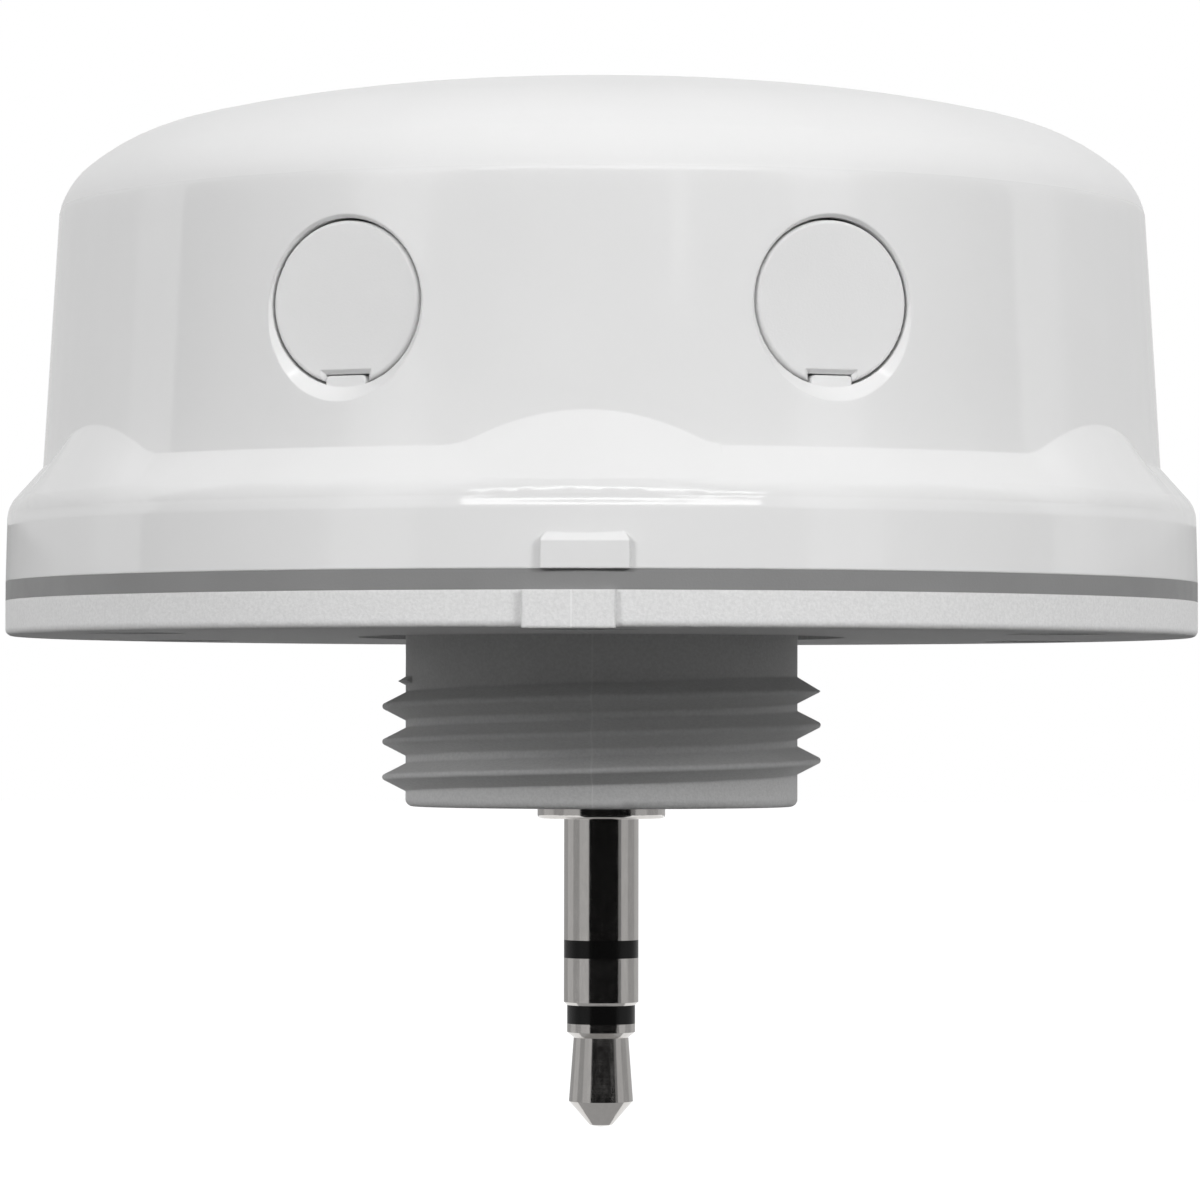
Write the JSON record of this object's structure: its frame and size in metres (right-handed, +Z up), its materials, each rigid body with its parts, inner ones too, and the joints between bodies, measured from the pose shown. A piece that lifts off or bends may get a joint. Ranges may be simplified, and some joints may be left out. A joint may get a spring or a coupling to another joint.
{
  "type": "microwave motion sensor",
  "caption": "Round plug-in microwave motion sensor: white domed housing, threaded nipple below, stereo audio plug on its axis, and two capped trimmers in the side wall.",
  "frame": {"origin": "on the housing's axis, in the plane of the flat underside that seats on the lamp", "axes": "+Z up the housing's axis towards the dome, away from the plug; the front with the two caps faces -Y; +X to the right seen from the front"},
  "size_m": [0.0558, 0.056, 0.0484],
  "materials": {
    "cover_white": "gloss moulded",
    "base_white": "spark textured",
    "cap_white": "fine matte texture",
    "gasket_grey": "matte silicone",
    "seal_rubber": "matte nitrile",
    "screw_steel": "zinc plated",
    "plug_nickel": "nickel plated, turned",
    "plug_black": "satin moulded",
    "carrier_plastic": "moulded",
    "lug_brass": "tinned",
    "lead_black": "extruded insulation",
    "lead_white": "extruded insulation",
    "lead_red": "extruded insulation",
    "header_plastic": "moulded",
    "connector_plastic": "moulded",
    "board_green": "solder mask",
    "chip_black": "moulded epoxy",
    "capacitor_aluminium": "drawn can",
    "inductor_ferrite": "ferrite",
    "ceramic_tan": "fired ceramic",
    "resistor_ceramic": "coated ceramic",
    "led_lens": "clear tinted",
    "sensor_lens": "clear",
    "antenna_copper": "gold flashed copper",
    "shield_tin": "tin plated",
    "spacer_nylon": "natural nylon",
    "pin_brass": "gold flashed",
    "trimmer_blue": "moulded",
    "rotor_white": "moulded"
  },
  "bodies": {
    "housing": {"dome_cover": "cover_white", "perimeter_gasket": "gasket_grey", "base_plate": "base_white", "housing_screws": "screw_steel", "plug_sleeve": "plug_nickel", "plug_rear_insulator": "plug_black", "plug_ring": "plug_nickel", "plug_front_insulator": "plug_black", "plug_tip": "plug_nickel", "plug_carrier": "carrier_plastic", "plug_sleeve_lug": "lug_brass", "plug_ring_lug": "lug_brass", "plug_tip_lug": "lug_brass", "sleeve_lead": "lead_black", "ring_lead": "lead_white", "tip_lead": "lead_red", "lead_header": "header_plastic", "lead_connector": "connector_plastic", "main_board": "board_green", "board_screws": "screw_steel", "mcu_chip": "chip_black", "voltage_regulator": "chip_black", "bulk_capacitor": "capacitor_aluminium", "power_inductor": "inductor_ferrite", "ceramic_capacitors": "ceramic_tan", "chip_resistors": "resistor_ceramic", "indicator_led": "led_lens", "light_sensor": "sensor_lens", "radar_board": "board_green", "patch_antenna": "antenna_copper", "radar_shield": "shield_tin", "radar_chip": "chip_black", "radar_spacers": "spacer_nylon", "radar_header": "header_plastic", "radar_pins": "pin_brass", "radar_screws": "screw_steel", "sensitivity_trimmer": "trimmer_blue", "hold_time_trimmer": "trimmer_blue"},
    "sensitivity_cap": {"sensitivity_cap": "cap_white", "sensitivity_cap_seal": "seal_rubber"},
    "sensitivity_rotor": {"sensitivity_rotor": "rotor_white"},
    "hold_time_cap": {"hold_time_cap": "cap_white", "hold_time_cap_seal": "seal_rubber"},
    "hold_time_rotor": {"hold_time_rotor": "rotor_white"}
  },
  "joints": [
    {"name": "sensitivity_cap_slide", "type": "slide", "parent": "housing", "child": "sensitivity_cap", "axis": [-0.4115, -0.9114, 0], "range_m": [0, 0.005]},
    {"name": "sensitivity_rotor_turn", "type": "hinge", "parent": "housing", "child": "sensitivity_rotor", "pos_m": [0, 0, 0.01408], "axis": [-0.4115, -0.9114, 0], "range_deg": [-105, 105]},
    {"name": "hold_time_cap_slide", "type": "slide", "parent": "housing", "child": "hold_time_cap", "axis": [0.4115, -0.9114, 0], "range_m": [0, 0.005]},
    {"name": "hold_time_rotor_turn", "type": "hinge", "parent": "housing", "child": "hold_time_rotor", "pos_m": [0, 0, 0.01408], "axis": [0.4115, -0.9114, 0], "range_deg": [-105, 105]}
  ]
}
